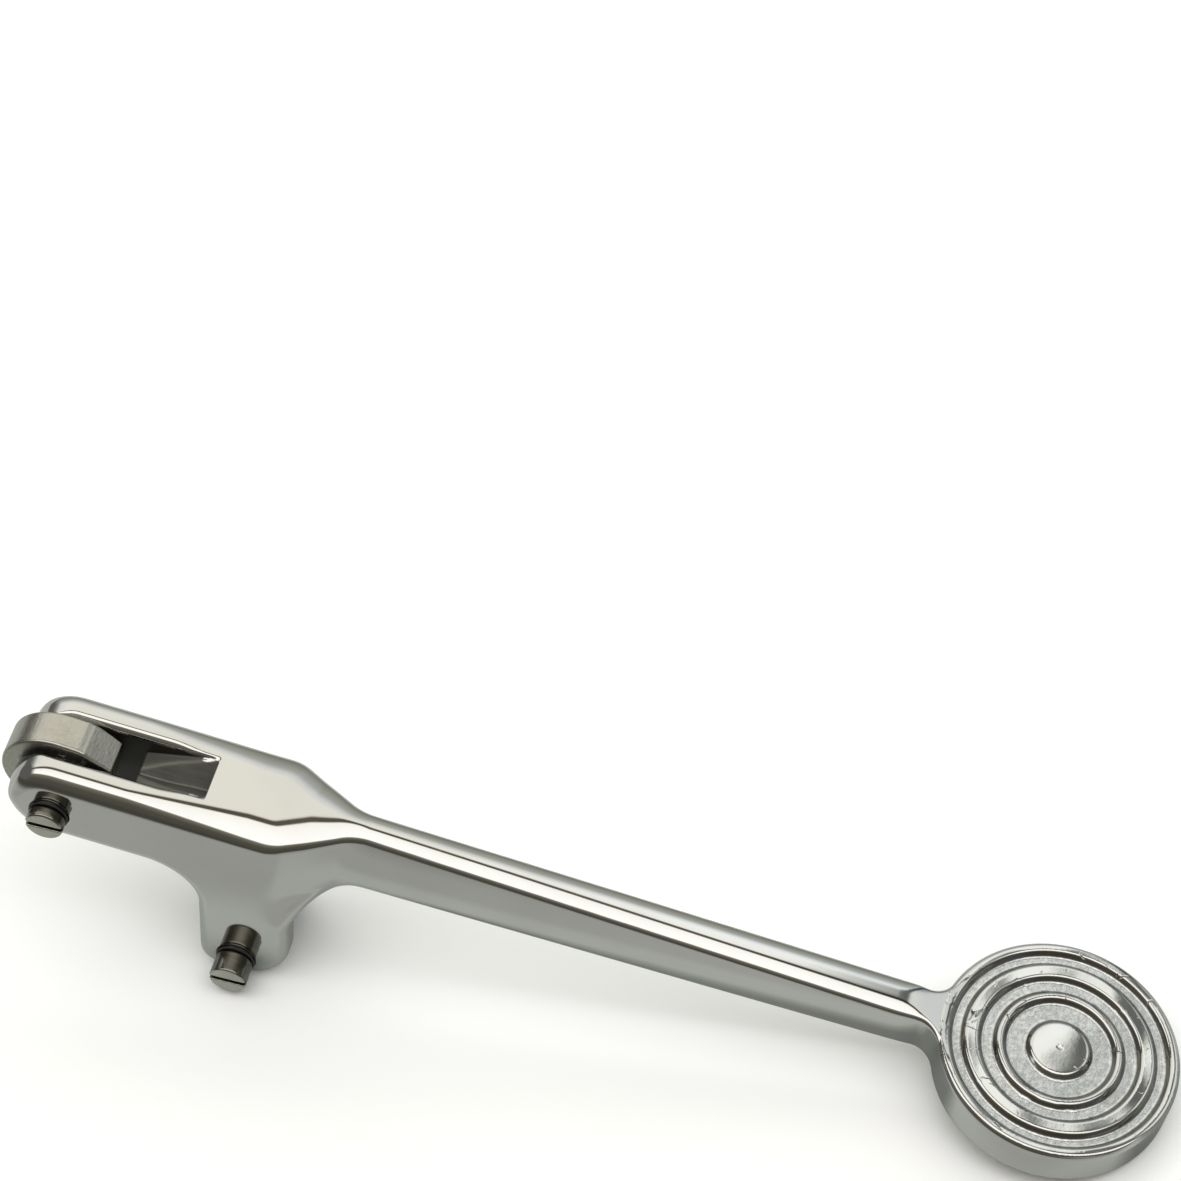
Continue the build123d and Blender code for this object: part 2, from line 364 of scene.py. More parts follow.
leverBody = {
    "step": 0.36,  # of the grid at the fork
    "fineStep": 0.25,  # of the grid at the pad
    "coarseX": (66, 180),  # the arm, which needs fewer points along it
    "coarseCount": 90,
    "low": (-12.2, -41),  # x and z where the grid starts
    "high": (236.5, 26, 13.2),  # x, y and z where it ends
    "forkHalf": 11.8,
    "top": 11.7,
    "slotHalf": 5.1,
    "slotEnd": 15.0,
    "rampEnd": 30.3,
    "rampRise": 0.344,  # height per length
    "slotEdge": 0.15,
    "slotReach": 33,  # the slot is cut before this
    "slotFoot": -12,  # and above this
    "bevel": 0.95,
    "bevelEdge": 0.2,
    "bevelFadesFrom": 20,  # and is gone 1 mm before the ramp's end
    "armFrom": (50, 66),  # over which the arm's own shape sets in
    "armTo": (176, 187),  # and over which it ends
    "armMiddle": 2,
    "armHalfHeight": 8.5,
    "taper": 0.8,  # the arm is this much narrower at its top than at its foot
    "crown": 0.8,  # the arm's sides bulge by this much
    "footEdge": 2.8,
    "padEdge": 1.15,
    "padEdgeFrom": (176, 190),
    "topEdgeFrom": (-2, 2),  # heights over which footEdge gives way to the top's edge
    "domeFrom": (0, 5),  # heights over which the domed border sets in
    "domeTo": (176, 188),  # and where along the arm it ends
    "flare": 4.0,
    "flareOnly": 1.5,  # further inside the pad's edge than this, the flare no longer counts
    "padX": 210.0,
    "padRadius": 25.0,
    "padTop": 5.15,
    "padFace": 23.4,  # radius inside which the pad's top is shaped
    "lugsBelow": (-19, -7),  # heights over which the lugs take over from the fork
    "lugsBefore": 80,
    "lugSlotTop": -15.0,
    "lugSlotBefore": 75,
    "lugEdge": 1.2,  # rounding between the lugs' inner faces and their rims
    "pinRadius": 4.03,
    "pins": [(0, 0), (42.0, -33.6)],
    # along x: edge radius at the top, width of the domed border, and the dome's radius
    "topEdge": [
        (15, 2.3, 3.9, 5.3),
        (40, 1.5, 7.0, 11.5),
        (52, 1.2, 7.0, 11.5),
        (64, 0.5, 3.4, 5.2),
        (176, 0.5, 3.3, 5.2),
    ],
    "grooves": [(5.9, 11.9), (12.7, 17.0), (19.3, 23.0)],  # inner and outer radius of each groove's mouth
    "grooveWall": 1.1,
    "wallRounding": 0.35,  # 0 for straight groove walls, 1 for fully rounded ones
    "grooveDepth": 1.1,
    "bossCrown": 0.12,  # the boss is this much lower at its rim
    "bossRadius": 6.2,
    "bossTo": 6.5,
}
# the lever seen from its near side and from above: corner places and their radii
sideCorners = [
    (-9.5, 11.7, 9.5), (60, 11.7, 70), (179, 7.55, 14), (187.5, 5.15, 12),
    (262, 5.15, 0), (262, -4.35, 0), (188, -4.35, 60), (50.9, -7.2, 14),
    (53.4, -39.05, 10), (34.0, -39.05, 5), (31.4, -7.5, 12), (-9.5, -7.5, 9.5),
]
planCorners = [
    (-40, 11.8, 0), (46.5, 11.8, 9), (61.5, 3.8, 12), (210, 3.8, 0), (210, -3.8, 0),
    (61.5, -3.8, 12), (46.5, -11.8, 9), (-40, -11.8, 0),
]


def leverPlan(x, y):
    s = leverBody
    arm = loopDistance(x, y, roundedLoop(planCorners))
    pad = np.hypot(x - s["padX"], y) - s["padRadius"]
    joined = np.maximum(s["flare"], np.minimum(arm, pad))
    joined -= np.hypot(np.maximum(s["flare"] - arm, 0), np.maximum(s["flare"] - pad, 0))
    return np.where(pad < -s["flareOnly"], np.minimum(pad, joined), joined)


def buildLeverField():
    s = leverBody
    h, fine = s["step"], s["fineStep"]
    neck, padStart = s["coarseX"]
    lowX, lowZ = s["low"]
    highX, highY, highZ = s["high"]
    # coarse along the arm, finest where the pad and its grooves are
    xs = np.concatenate([
        np.arange(lowX, neck, h),
        np.linspace(neck, padStart, s["coarseCount"])[1:],
        np.arange(padStart + fine, highX, fine),
    ])
    half = np.concatenate([np.arange(0, 12.9, 0.3), np.arange(13.2, highY, fine)])
    zs = np.concatenate([np.arange(lowZ, 2, h), np.arange(2, 6.5, fine), np.arange(6.6, highZ, 0.32)])
    ys = np.concatenate([-half[:0:-1], half])
    x, y, z = xs[:, None, None], half[None, :, None], zs[None, None, :]
    side = loopDistance(xs[:, None], zs[None, :], roundedLoop(sideCorners))[:, None, :]
    plan = leverPlan(xs[:, None], half[None, :])[:, :, None]
    along = smoothStep(x, *s["armFrom"]) * (1 - smoothStep(x, *s["armTo"]))
    height = (z - s["armMiddle"]) / s["armHalfHeight"]
    plan = plan + along * (s["taper"] * height / 2 - s["crown"] * np.maximum(1 - height**2, 0))
    # the lugs keep the fork's width
    low = (1 - smoothStep(z, *s["lugsBelow"])) * (x < s["lugsBefore"])
    plan = plan * (1 - low) + (y - s["forkHalf"]) * low
    # the top's border is domed before its edge turns down
    places, *kinds = zip(*s["topEdge"])
    edge, border, dome = (np.interp(x, places, kind) for kind in kinds)
    border = border * (1 - smoothStep(x, *s["domeTo"]))
    drop = np.maximum(border + np.minimum(plan, 0), 0) ** 2 / (2 * dome)
    side = side + drop * smoothStep(z, *s["domeFrom"])
    edge = s["footEdge"] + (edge - s["footEdge"]) * smoothStep(z, *s["topEdgeFrom"])
    edge = edge + (s["padEdge"] - edge) * smoothStep(x, *s["padEdgeFrom"])
    body = roundMax(side, plan, edge)
    # cam slot with its ramp
    spare = 5  # how far a cut runs on past the metal
    below, behind = -30, -40
    rampFoot = s["top"] - s["rampRise"] * (s["rampEnd"] - s["slotEnd"])
    cutLoop = np.array([
        (s["rampEnd"] + spare / s["rampRise"], s["top"] + spare), (s["rampEnd"], s["top"]),
        (s["slotEnd"], rampFoot), (s["slotEnd"], below), (behind, below), (behind, s["top"] + spare),
    ], float)
    cut = loopDistance(xs[:, None], zs[None, :], cutLoop)[:, None, :]
    cut = np.where((x < s["slotReach"]) & (z > s["slotFoot"]), cut, spare)
    body = roundMax(body, -np.maximum(cut, y - s["slotHalf"]), s["slotEdge"])
    chamfer = s["bevel"] * (1 - smoothStep(x, s["bevelFadesFrom"], s["rampEnd"] - 1))
    bevel = (y - s["slotHalf"] - chamfer + s["top"] - z) / math.sqrt(2)
    body = roundMax(body, -np.maximum(bevel, x - s["rampEnd"]), s["bevelEdge"])
    # gap between the lugs
    gap = np.maximum(y - s["slotHalf"], z - s["lugSlotTop"])
    body = roundMax(body, -np.where(x < s["lugSlotBefore"], gap, spare), s["lugEdge"])
    for pinX, pinZ in s["pins"]:
        body = np.maximum(body, s["pinRadius"] - np.hypot(x - pinX, z - pinZ))
    # grooves in the pad's face
    reach = np.hypot(xs[:, None] - s["padX"], half[None, :])
    depth = s["bossCrown"] * np.minimum(reach / s["bossRadius"], 1) ** 2 * (reach < s["bossTo"])
    for inner, outer in s["grooves"]:
        down = np.clip(np.minimum(reach - inner, outer - reach) / s["grooveWall"], 0, 1)
        share = down + (smoothStep(down, 0, 1) - down) * s["wallRounding"]
        depth = depth + s["grooveDepth"] * share
    slopes = np.gradient(depth, xs, axis=0) ** 2 + np.gradient(depth, half, axis=1) ** 2
    steep = 1 / np.sqrt(1 + slopes)
    grooved = np.maximum(body, (z - s["padTop"] + depth[:, :, None]) * steep[:, :, None])
    body = np.where((reach < s["padFace"])[:, :, None] & (z > 0), grooved, body)
    body = np.concatenate([body[:, :0:-1, :], body], axis=1).astype(np.float32)
    return body, (xs, ys, zs)


lever, leverSpots = fieldObject("lever", *buildLeverField())
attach(lever, "lever")
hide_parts("lever_body")
print("lever body shaped")

# cam plate between the cheeks
camPlate = {
    "step": 0.2,
    "low": (-13.6, -4.8, -10.2),
    "high": (12, 4.81, 14.4),
    "thickness": 8.0,
    "radius": 11.4,
    "offset": (-1.6, 1.9),
    "nose": (4.4, 13.0),
    "tail": (10.4, 9.3),
    "cornerRound": 0.7,
    "noseWay": (0.5, 0.86),  # the nose is blunted square to this
    "noseCut": 0.25,  # share of cornerRound
    "edge": 0.55,
    "bore": 4.05,
    "boreEdge": 0.2,
}


def buildCamField():
    s = camPlate
    xs, ys, zs = (np.arange(low, high, s["step"]) for low, high in zip(s["low"], s["high"]))
    # tangents from the nose and the tail close the outline round the circle
    middle = np.array(s["offset"])
    corners = []
    for corner, way in ((s["tail"], -1), (s["nose"], 1)):
        out = np.array(corner) - middle
        angle = math.atan2(out[1], out[0]) + way * math.acos(s["radius"] / np.hypot(*out))
        corners.append((middle + s["radius"] * np.array((math.cos(angle), math.sin(angle))), angle))
    (low, lowAngle), (high, highAngle) = corners
    loop = [tuple(low), s["tail"], s["nose"], tuple(high)]
    for angle in np.linspace(highAngle, lowAngle + 2 * math.pi, 90)[1:-1]:
        x, z = s["radius"] * math.cos(angle), s["radius"] * math.sin(angle)
        loop.append((middle[0] + x, middle[1] + z))
    small = s["cornerRound"]
    outline = loopDistance(xs[:, None], zs[None, :], np.array(loop, float))[:, None, :]
    x, y, z = xs[:, None, None], ys[None, :, None], zs[None, None, :]
    (noseX, noseZ), (wayX, wayZ) = s["nose"], s["noseWay"]
    blunt = (x - noseX) * wayX + (z - noseZ) * wayZ + small * s["noseCut"]
    outline = roundMax(outline, blunt, small)
    plate = roundMax(outline, np.abs(y) - s["thickness"] / 2, s["edge"])
    plate = roundMax(plate, s["bore"] - np.hypot(x, z) + 0 * y, s["boreEdge"])
    return plate.astype(np.float32), (xs, ys, zs)


cam, camSpots = fieldObject("camPlate", *buildCamField())
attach(cam, "cam")
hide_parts("cam")
print("cam shaped")

# both pins, each with a driver slot and a ring groove
pins = {
    "step": 0.16,
    "gridHalf": 4.8,
    "fineEnds": (1.6, 1.2),  # how far the fine steps run in from each face of the fork
    "coarseCount": 24,
    "margin": 0.8,
    "radius": 4.0,
    "near": -11.8,  # the fork's near face
    "far": 11.0,
    "endEdge": 0.45,
    "litEndFades": (0.05, 0.3),  # in from the near end, where the end's painted light fades
    "slotWidth": 1.2,
    "slotDepth": 1.3,
    "slotTurn": 5.0,  # degrees
    "cutEdge": 0.12,
    "ringGroove": 0.3,
    "ringWidth": 1.0,
    # x, z and reach past the near face
    "places": {"pivot_pin": (0.0, 0.0, 3.4), "lug_pin": (42.0, -33.6, 6.0)},
}


def buildPinField(pinX, pinZ, reach):
    s = pins
    h = s["step"]
    end = s["near"] - reach
    side = np.arange(-s["gridHalf"], s["gridHalf"] + 0.01, h)
    xs, zs = pinX + side, pinZ + side
    root, farStart = s["near"] + s["fineEnds"][0], s["far"] - s["fineEnds"][1]
    ys = np.concatenate([
        np.arange(end - s["margin"], root, h),
        np.linspace(root, farStart, s["coarseCount"])[1:-1],
        np.arange(farStart, s["far"] + s["margin"], h),
    ])
    x, y, z = xs[:, None, None], ys[None, :, None], zs[None, None, :]
    away = np.hypot(x - pinX, z - pinZ)
    pin = roundMax(away - s["radius"], np.maximum(end - y, y - s["far"]) + 0 * away, s["endEdge"])
    halfWidth = s["ringWidth"] / 2
    insideRing = np.abs(y - s["near"] + halfWidth) - halfWidth
    groove = np.maximum(insideRing, s["radius"] - s["ringGroove"] - away)
    pin = roundMax(pin, -groove, s["cutEdge"])
    turn = math.radians(s["slotTurn"])
    across = (z - pinZ) * math.cos(turn) - (x - pinX) * math.sin(turn)
    slot = np.maximum(np.abs(across) - s["slotWidth"] / 2, y - end - s["slotDepth"])
    pin = roundMax(pin, -slot, s["cutEdge"])
    return pin.astype(np.float32), (xs, ys, zs)


pinPieces = []
for nodeName, (pinX, pinZ, reach) in pins["places"].items():
    pin, spots = fieldObject(nodeName + "Steel", *buildPinField(pinX, pinZ, reach))
    fromEnd = spots[:, 1] - pins["near"] + reach
    # the end face's painted light
    paintMask(pin, "end", 1 - smoothStep(fromEnd, *pins["litEndFades"]))
    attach(pin, "lever")
    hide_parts(nodeName)
    pinPieces.append(pin)
print("pins shaped")

# black rubber rings round the pins' roots, standing in for the shadow in the gap there
rings = {
    "step": 0.1,
    "gridHalf": 0.8,
    "margin": 0.4,
    "section": 0.28,  # radius of the rubber's own round
    "middle": 3.97,
    "clear": 0.02,  # between the ring and the near face
}


def buildRingField(pinX, pinZ):
    s = rings
    h, reach = s["step"], s["middle"] + s["section"] + s["margin"]
    side = np.arange(-reach, reach + h, h)
    across = np.arange(-s["gridHalf"], s["gridHalf"] + 0.01, h)
    ys = pins["near"] - s["section"] - s["clear"] + across
    x, y, z = side[:, None, None], ys[None, :, None], side[None, None, :]
    field = np.hypot(np.hypot(x, z) - s["middle"], y - ys[len(ys) // 2]) - s["section"]
    return field.astype(np.float32), (pinX + side, ys, pinZ + side)


ringPieces = []
for nodeName, (pinX, pinZ, _) in pins["places"].items():
    ring, _ = fieldObject(nodeName + "Rubber", *buildRingField(pinX, pinZ))
    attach(ring, "lever")
    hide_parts(nodeName + "_ring")
    ringPieces.append(ring)
print("rings shaped")


# shared surface effects
def newGroup(name, inputs, outputs):
    group = bpy.data.node_groups.new(name, "ShaderNodeTree")
    for label, kind, value in inputs:
        socket = group.interface.new_socket(label, in_out="INPUT", socket_type="NodeSocket" + kind)
        if value is not None:
            socket.default_value = value
    for label, kind in outputs:
        group.interface.new_socket(label, in_out="OUTPUT", socket_type="NodeSocket" + kind)
    return group, group.nodes.new("NodeGroupInput").outputs, group.nodes.new("NodeGroupOutput").inputs


def scaled(tree, place, scale):
    node = addNode(tree, "ShaderNodeVectorMath", [(0, place)], operation="MULTIPLY")
    feed(tree, node.inputs[1], scale)
    return node.outputs[0]


def addNoise(tree, place, scale, detail, roughness=0.55):
    values = {"Scale": scale, "Detail": detail, "Roughness": roughness}
    return addNode(tree, "ShaderNodeTexNoise", [("Vector", place)], **values).outputs["Fac"]


def smudgeGroup():
    # soft patches left by hands and by the polishing wheel, and a few fine rubs
    tree, given, sent = newGroup(
        "smudges",
        [("Place", "Vector", None), ("Amount", "Float", 0.1), ("Rub Amount", "Float", 0.1)],
        [("Roughness", "Float"), ("Shade", "Float")],
    )
    patches = addNoise(tree, given["Place"], 60, 4)
    rubs = addNoise(tree, scaled(tree, given["Place"], (90.0, 900.0, 900.0)), 1.0, 2)
    soft = addRamp(tree, patches, [(0.42, 0.0), (0.72, 1.0)])
    fine = addRamp(tree, rubs, [(0.62, 0.0), (0.74, 1.0)])
    first = addMath(tree, "MULTIPLY", soft, given["Amount"])
    second = addMath(tree, "MULTIPLY", fine, given["Rub Amount"])
    tree.links.new(addMath(tree, "ADD", first, second), sent["Roughness"])
    tree.links.new(addMath(tree, "SUBTRACT", 1.0, first), sent["Shade"])
    return tree


def castGrainGroup():
    # the pebbled skin of a casting, with small pits
    tree, given, sent = newGroup(
        "castGrain",
        [("Place", "Vector", None), ("Scale", "Float", 900.0), ("Pit Amount", "Float", 0.5)],
        [("Height", "Float"), ("Shade", "Float")],
    )
    wired = [("Vector", given["Place"]), ("Scale", given["Scale"])]
    noise = addNode(tree, "ShaderNodeTexNoise", wired, Detail=5.0, Roughness=0.62)
    pitScale = addMath(tree, "MULTIPLY", given["Scale"], 0.55)
    cells = addNode(tree, "ShaderNodeTexVoronoi", [("Vector", given["Place"]), ("Scale", pitScale)])
    pits = addRamp(tree, cells.outputs["Distance"], [(0.1, 1.0), (0.2, 0.0)])
    thin = addRamp(tree, addNoise(tree, given["Place"], 260, 2), [(0.5, 0.0), (0.62, 1.0)])
    pits = addMath(tree, "MULTIPLY", addMath(tree, "MULTIPLY", pits, thin), given["Pit Amount"])
    tree.links.new(addMath(tree, "SUBTRACT", noise.outputs["Fac"], pits), sent["Height"])
    tree.links.new(addRamp(tree, noise.outputs["Fac"], [(0.3, 0.72), (0.7, 1.1)]), sent["Shade"])
    return tree


def brushingGroup():
    # parallel lines; they are fine along an axis where Stretch is high
    tree, given, sent = newGroup(
        "brushing",
        [
            ("Place", "Vector", None),
            ("Stretch", "Vector", (200.0, 2000.0, 200.0)),
            ("Contrast", "Float", 0.4),
        ],
        [("Shade", "Float"), ("Height", "Float"), ("Roughness", "Float")],
    )
    lines = addNoise(tree, scaled(tree, given["Place"], given["Stretch"]), 1.0, 4, 0.6)
    broad = addNoise(tree, given["Place"], 220, 2)
    streaks = addMath(tree, "MULTIPLY", addMath(tree, "SUBTRACT", lines, 0.5), given["Contrast"])
    streaks = addMath(tree, "ADD", streaks, 1.0)
    shade = addMath(tree, "MULTIPLY_ADD", addMath(tree, "SUBTRACT", broad, 0.5), 0.3, streaks)
    tree.links.new(shade, sent["Shade"])
    tree.links.new(lines, sent["Height"])
    tree.links.new(addMath(tree, "MULTIPLY", lines, 0.2), sent["Roughness"])
    return tree


def nickGroup():
    # short scratches and dents, only where Where is high
    tree, given, sent = newGroup(
        "nicks",
        [("Place", "Vector", None), ("Where", "Float", 1.0), ("Scale", "Float", 300.0)],
        [("Mask", "Float"), ("Height", "Float")],
    )
    bent = addNode(tree, "ShaderNodeTexNoise", [("Vector", given["Place"])], Scale=90.0)
    bends = [(0, bent.outputs["Color"])]
    shift = addNode(tree, "ShaderNodeVectorMath", bends, operation="SCALE", Scale=0.004)
    shifts = [(0, given["Place"]), (1, shift.outputs[0])]
    moved = addNode(tree, "ShaderNodeVectorMath", shifts, operation="ADD").outputs[0]
    wired = [("Vector", moved), ("Scale", given["Scale"])]
    cells = addNode(tree, "ShaderNodeTexVoronoi", wired, feature="DISTANCE_TO_EDGE")
    lines = addRamp(tree, cells.outputs["Distance"], [(0.0, 1.0), (0.035, 0.0)])
    rare = addRamp(tree, addNoise(tree, given["Place"], 210, 2), [(0.59, 0.0), (0.66, 1.0)])
    mask = addMath(tree, "MULTIPLY", addMath(tree, "MULTIPLY", lines, rare), given["Where"], clamp=True)
    tree.links.new(mask, sent["Mask"])
    tree.links.new(addMath(tree, "MULTIPLY", mask, -1), sent["Height"])
    return tree


smudges, castGrain, brushing, nicks = smudgeGroup(), castGrainGroup(), brushingGroup(), nickGroup()
print("surface effects built")


def newMaterial(name, metallic=1.0):
    material = bpy.data.materials.new(name)
    material.use_nodes = True
    tree = material.node_tree
    shader = tree.nodes["Principled BSDF"]
    shader.inputs["Metallic"].default_value = metallic
    return material, tree, shader, addNode(tree, "ShaderNodeTexCoord").outputs["Object"]


def addGroup(tree, group, place, **values):
    node = tree.nodes.new("ShaderNodeGroup")
    node.node_tree = group
    tree.links.new(place, node.inputs["Place"])
    for key, value in values.items():
        feed(tree, node.inputs[key.replace("_", " ")], value)
    return node.outputs


def addBump(tree, height, distance, strength=1.0, normal=None):
    node = addNode(tree, "ShaderNodeBump", [("Height", height)], Distance=distance, Strength=strength)
    if normal is not None:
        tree.links.new(normal, node.inputs["Normal"])
    return node.outputs["Normal"]


# polished casting, with its cast skin left in the grooves, mill marks and painted shade in the slot, and
# painted shade on the grooves' sides
castingLook = {
    "polish": (0.575, 0.565, 0.54),
    "skin": (0.66, 0.66, 0.645),
    # the milled finish, made darker than milled steel as painted shade inside the slot
    "milled": (0.175, 0.17, 0.15),
    # painted shade on the grooves' sides, and how much of it shows
    "grooveSideShade": (0.17, 0.165, 0.15),
    "grooveShadeShare": 0.65,
    # painted shade deep in the slot, on its walls
    "slotWallShade": (0.075, 0.072, 0.062),
    "nick": (0.16, 0.155, 0.14),
    "polishRoughness": 0.055,
    "skinRoughness": 0.22,
    "milledRoughness": 0.6,
    # how high the marks stand, in metres
    "waveHeight": 0.00045,
    "skinHeight": 0.00022,
    "millHeight": 0.00004,
    "nickHeight": 0.00012,
    "padGrain": 0.03,  # share of the grain that shows on the pad's raised rings
    "waveStrength": 0.7,
}
# where each finish lies on the lever, in its own millimetres
castingZones = {
    "skinDepth": (0.55, 0.95),  # below the pad's top
    "skinRadius": 23.2,
    "footSkin": 0.35,  # how much of the cast skin shows at the lugs' toes
    "footSkinTo": (-38, -28),
    "slotMargin": 0.08,  # how far past a wall still counts as in the slot
    "endMargin": 0.3,
    "milledBelow": 1.1,  # under the fork's top
    "rampBelow": 0.25,
    "rampShare": 0.97,
    "lugMargin": 0.5,
    "wallBorder": (0.35, 0.1),  # in from the slot's wall, where its painted shade sets in
    "padMiddle": 12.5,  # of the ring that padFace covers, and its reach to either side
    "padReach": (12.3, 11.8),
    "padAbove": (3.0, 4.6),
    "aboveHalf": 2,
    "groovesAbove": 2.5,
    "sideMiddle": 0.55,  # in widths of a groove's wall
    "sideReach": (0.5, 0.25),
    "rimMiddle": -0.2,
    "rimReach": (1.0, 0.3),
}


def band(value, middle, reach):
    # 1 near the middle, fading to 0 between the two reaches
    far, near = reach
    return smoothStep(-np.abs(value - middle), -far, -near)


def leverMasks():
    s, zone = leverBody, castingZones
    x, y, z = leverSpots.T
    away = np.hypot(x - s["padX"], y)
    onTop = z > zone["aboveHalf"]
    deep = smoothStep(s["padTop"] - z, *zone["skinDepth"]) * (away < zone["skinRadius"]) * onTop
    foot = zone["footSkin"] * (1 - smoothStep(z, *zone["footSkinTo"])) * (x < s["lugsBefore"])
    inSlot = np.abs(y) < s["slotHalf"] + zone["slotMargin"]
    ramp = np.maximum(s["rampRise"] * (s["rampEnd"] - x), 0) * zone["rampShare"]
    under = (z < s["top"] - zone["milledBelow"]) | (s["top"] - z > zone["rampBelow"] + ramp)
    milled = inSlot & (x < s["rampEnd"] + zone["endMargin"]) & under
    milled |= inSlot & (z < s["lugSlotTop"] + zone["lugMargin"])
    wallFrom, wallTo = (s["slotHalf"] - part for part in zone["wallBorder"])
    side, rim = np.zeros(len(x)), np.zeros(len(x))
    for low, high in s["grooves"]:
        down = np.minimum(away - low, high - away) / s["grooveWall"]
        side = np.maximum(side, band(down, zone["sideMiddle"], zone["sideReach"]))
        rim = np.maximum(rim, band(down, zone["rimMiddle"], zone["rimReach"]))
    face = band(away, zone["padMiddle"], zone["padReach"]) * onTop * smoothStep(z, *zone["padAbove"])
    paintMask(lever, "castSkin", np.maximum(deep, foot))
    paintMask(lever, "milled", milled.astype(float))
    paintMask(lever, "padFace", face)
    # where the painted shade on the grooves' sides goes
    paintMask(lever, "grooveSideShade", side * (z > zone["groovesAbove"]))
    paintMask(lever, "rimLine", rim * (z > zone["groovesAbove"]))
    # where the painted shade on the slot's walls goes
    paintMask(lever, "slotWallShade", milled * smoothStep(np.abs(y), wallFrom, wallTo))


def castingMaterial():
    look = castingLook
    material, tree, shader, place = newMaterial("polishedCasting")
    names = ("castSkin", "milled", "padFace", "slotWallShade", "grooveSideShade", "rimLine")
    masks = {name: addMask(tree, name) for name in names}
    soft = addGroup(tree, smudges, place, Amount=0.05, Rub_Amount=0.03)
    grain = addGroup(tree, castGrain, place, Scale=850.0, Pit_Amount=0.5)
    marks = addGroup(tree, brushing, place, Stretch=(150.0, 1600.0, 150.0), Contrast=0.5)
    scratches = addGroup(tree, nicks, place, Where=masks["rimLine"], Scale=190.0)
    polish = mixColour(tree, 1.0, look["polish"], soft["Shade"], "MULTIPLY")
    skin = mixColour(tree, 1.0, look["skin"], grain["Shade"], "MULTIPLY")
    # the slot's walls take painted shade
    milled = mixColour(tree, masks["slotWallShade"], look["milled"], look["slotWallShade"])
    milled = mixColour(tree, 1.0, milled, marks["Shade"], "MULTIPLY")
    colour = mixColour(tree, masks["castSkin"], polish, skin)
    # painted shade darkens the grooves' sides
    grooveShade = addMath(tree, "MULTIPLY", masks["grooveSideShade"], look["grooveShadeShare"])
    colour = mixColour(tree, grooveShade, colour, look["grooveSideShade"])
    # milled finish with painted shade inside the slot
    colour = mixColour(tree, masks["milled"], colour, milled)
    colour = mixColour(tree, scratches["Mask"], colour, look["nick"])
    tree.links.new(colour, shader.inputs["Base Color"])
    smooth = addMath(tree, "ADD", soft["Roughness"], look["polishRoughness"])
    rough = mixValue(tree, masks["castSkin"], smooth, look["skinRoughness"])
    rough = mixValue(tree, masks["milled"], rough, look["milledRoughness"])
    tree.links.new(rough, shader.inputs["Roughness"])
    keptGrain = mixValue(tree, masks["padFace"], masks["castSkin"], look["padGrain"])
    skinHeight = addMath(tree, "MULTIPLY", grain["Height"], keptGrain)
    millHeight = addMath(tree, "MULTIPLY", marks["Height"], masks["milled"])
    wave = addMath(tree, "MULTIPLY", addNoise(tree, place, 110, 0), masks["padFace"])
    normal = addBump(tree, wave, look["waveHeight"], look["waveStrength"])
    normal = addBump(tree, skinHeight, look["skinHeight"], 1.0, normal)
    normal = addBump(tree, millHeight, look["millHeight"], 1.0, normal)
    normal = addBump(tree, scratches["Height"], look["nickHeight"], 1.0, normal)
    tree.links.new(normal, shader.inputs["Normal"])
    return material


leverMasks()
lever.data.materials.append(castingMaterial())
print("casting finished")

# cam: its rim brushed across, its sides duller
camLook = {
    "rim": (0.43, 0.41, 0.36),
    "side": (0.46, 0.445, 0.395),
    "dent": (0.85, 0.82, 0.75),
    "rimRoughness": 0.12,  # before the brushing adds its own
    "sideRoughness": 0.36,
    # how high the marks stand, in metres
    "brushHeight": 0.00003,
    "grainHeight": 0.00004,
    "dentHeight": 0.0001,
    # millimetres in from the cam's side
    "rimFrom": (0.1, 0.45),
    "edgeMiddle": 0.2,
    "edgeReach": (0.9, 0.1),
}


def camMaterial():
    look = camLook
    material, tree, shader, place = newMaterial("brushedCam")
    rimMask, edgeMask = addMask(tree, "rim"), addMask(tree, "edge")
    across = addGroup(tree, brushing, place, Stretch=(1500.0, 260.0, 1500.0), Contrast=0.35)
    grain = addGroup(tree, castGrain, place, Scale=1500.0, Pit_Amount=0.7)
    dents = addGroup(tree, nicks, place, Where=edgeMask, Scale=420.0)
    rim = mixColour(tree, 1.0, look["rim"], across["Shade"], "MULTIPLY")
    side = mixColour(tree, 1.0, look["side"], grain["Shade"], "MULTIPLY")
    colour = mixColour(tree, rimMask, side, rim)
    colour = mixColour(tree, dents["Mask"], colour, look["dent"])
    tree.links.new(colour, shader.inputs["Base Color"])
    rimRough = addMath(tree, "ADD", across["Roughness"], look["rimRoughness"])
    rough = mixValue(tree, rimMask, look["sideRoughness"], rimRough)
    tree.links.new(rough, shader.inputs["Roughness"])
    brushHeight = addMath(tree, "MULTIPLY", across["Height"], rimMask)
    normal = addBump(tree, brushHeight, look["brushHeight"])
    normal = addBump(tree, grain["Height"], look["grainHeight"], 1.0, normal)
    normal = addBump(tree, dents["Height"], look["dentHeight"], 1.0, normal)
    tree.links.new(normal, shader.inputs["Normal"])
    return material


fromSide = camPlate["thickness"] / 2 - np.abs(camSpots[:, 1])
paintMask(cam, "rim", smoothStep(fromSide, *camLook["rimFrom"]))
paintMask(cam, "edge", band(fromSide, camLook["edgeMiddle"], camLook["edgeReach"]))
cam.data.materials.append(camMaterial())
print("cam finished")

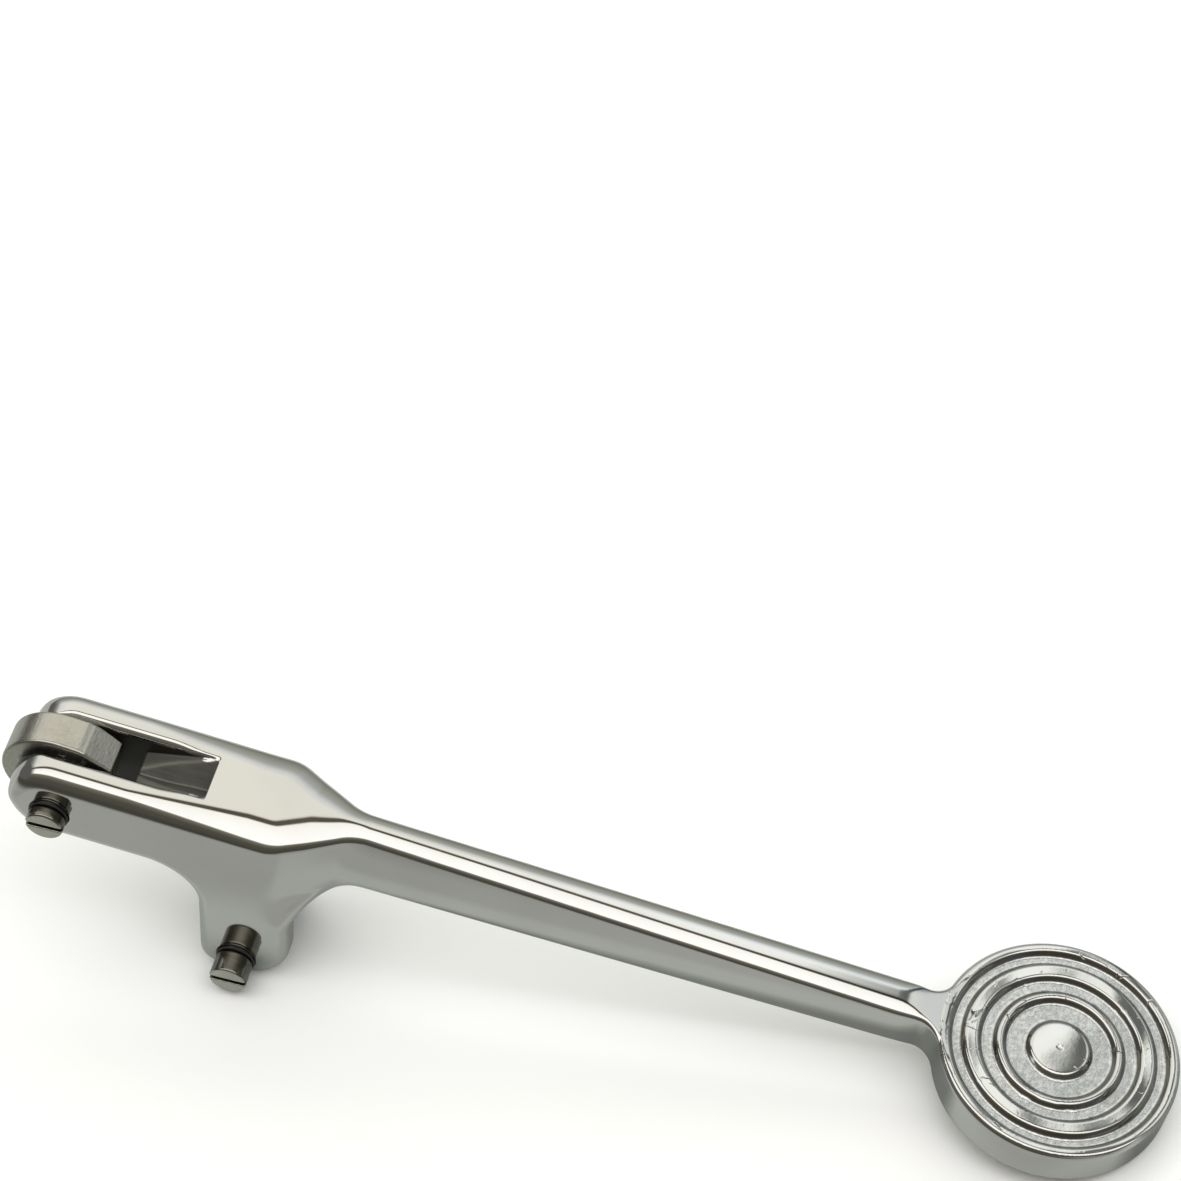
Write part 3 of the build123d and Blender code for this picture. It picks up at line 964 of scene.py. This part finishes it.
# stainless pins and washers with turning marks, the pins painted dark as shade with painted light on
# their ends, and black rubber that stands in for shadow
smallParts = {
    # pin steel darkened as painted shade; the end face is painted lighter as painted light
    "pin": (0.21, 0.20, 0.17),
    "pinEndLit": (0.50, 0.48, 0.42),
    "pinRoughness": 0.06,
    "pinStretch": (250.0, 2500.0, 250.0),
    "washer": (0.40, 0.39, 0.36),
    "washerRoughness": 0.25,
    "washerStretch": (1500.0, 300.0, 1500.0),
    "turningHeight": 0.00001,  # metres
    # black of the rings: painted shadow of the gap round each pin's root
    "ringShadowBlack": (0.018, 0.018, 0.017),
    "rubberRoughness": (0.38, 0.6),
    "rubberHeight": 0.00002,
}


def turnedSteel(name, colour, roughness, stretch, litEndColour=None):
    material, tree, shader, place = newMaterial(name)
    turning = addGroup(tree, brushing, place, Stretch=stretch, Contrast=0.5)
    soft = addGroup(tree, smudges, place, Amount=0.12, Rub_Amount=0.05)
    # painted light on the pins' end faces
    if litEndColour:
        colour = mixColour(tree, addMask(tree, "end"), colour, litEndColour)
    shaded = mixColour(tree, 1.0, colour, turning["Shade"], "MULTIPLY")
    shaded = mixColour(tree, 1.0, shaded, soft["Shade"], "MULTIPLY")
    tree.links.new(shaded, shader.inputs["Base Color"])
    tree.links.new(addMath(tree, "ADD", soft["Roughness"], roughness), shader.inputs["Roughness"])
    normal = addBump(tree, turning["Height"], smallParts["turningHeight"])
    tree.links.new(normal, shader.inputs["Normal"])
    return material


def ringShadowMaterial():
    look = smallParts
    material, tree, shader, place = newMaterial("ringRubber", metallic=0.0)
    skin = addGroup(tree, castGrain, place, Scale=2500.0, Pit_Amount=0.2)
    colour = mixColour(tree, 1.0, look["ringShadowBlack"], skin["Shade"], "MULTIPLY")
    tree.links.new(colour, shader.inputs["Base Color"])
    rough = mixValue(tree, skin["Height"], *look["rubberRoughness"])
    tree.links.new(rough, shader.inputs["Roughness"])
    tree.links.new(addBump(tree, skin["Height"], look["rubberHeight"]), shader.inputs["Normal"])
    return material


look = smallParts
pinFinish = (look["pin"], look["pinRoughness"], look["pinStretch"], look["pinEndLit"])
pinSteel = turnedSteel("pinSteel", *pinFinish)
washerFinish = (look["washer"], look["washerRoughness"], look["washerStretch"])
washerSteel = turnedSteel("washerSteel", *washerFinish)
# the rings' black stands in for shadow
ringRubber = ringShadowMaterial()
for pin, ring in zip(pinPieces, ringPieces):
    pin.data.materials.append(pinSteel)
    ring.data.materials.append(ringRubber)
nodeLooks = {
    "lever_body": lever.data.materials[0],
    "cam": cam.data.materials[0],
    "pivot_pin": pinSteel,
    "lug_pin": pinSteel,
    "pivot_pin_ring": ringRubber,
    "lug_pin_ring": ringRubber,
    "cam_washer_near": washerSteel,
    "cam_washer_far": washerSteel,
}
for name, material in nodeLooks.items():
    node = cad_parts[name]
    node.data.materials.clear()
    node.data.materials.append(material)
print("pins, rings and washers finished")
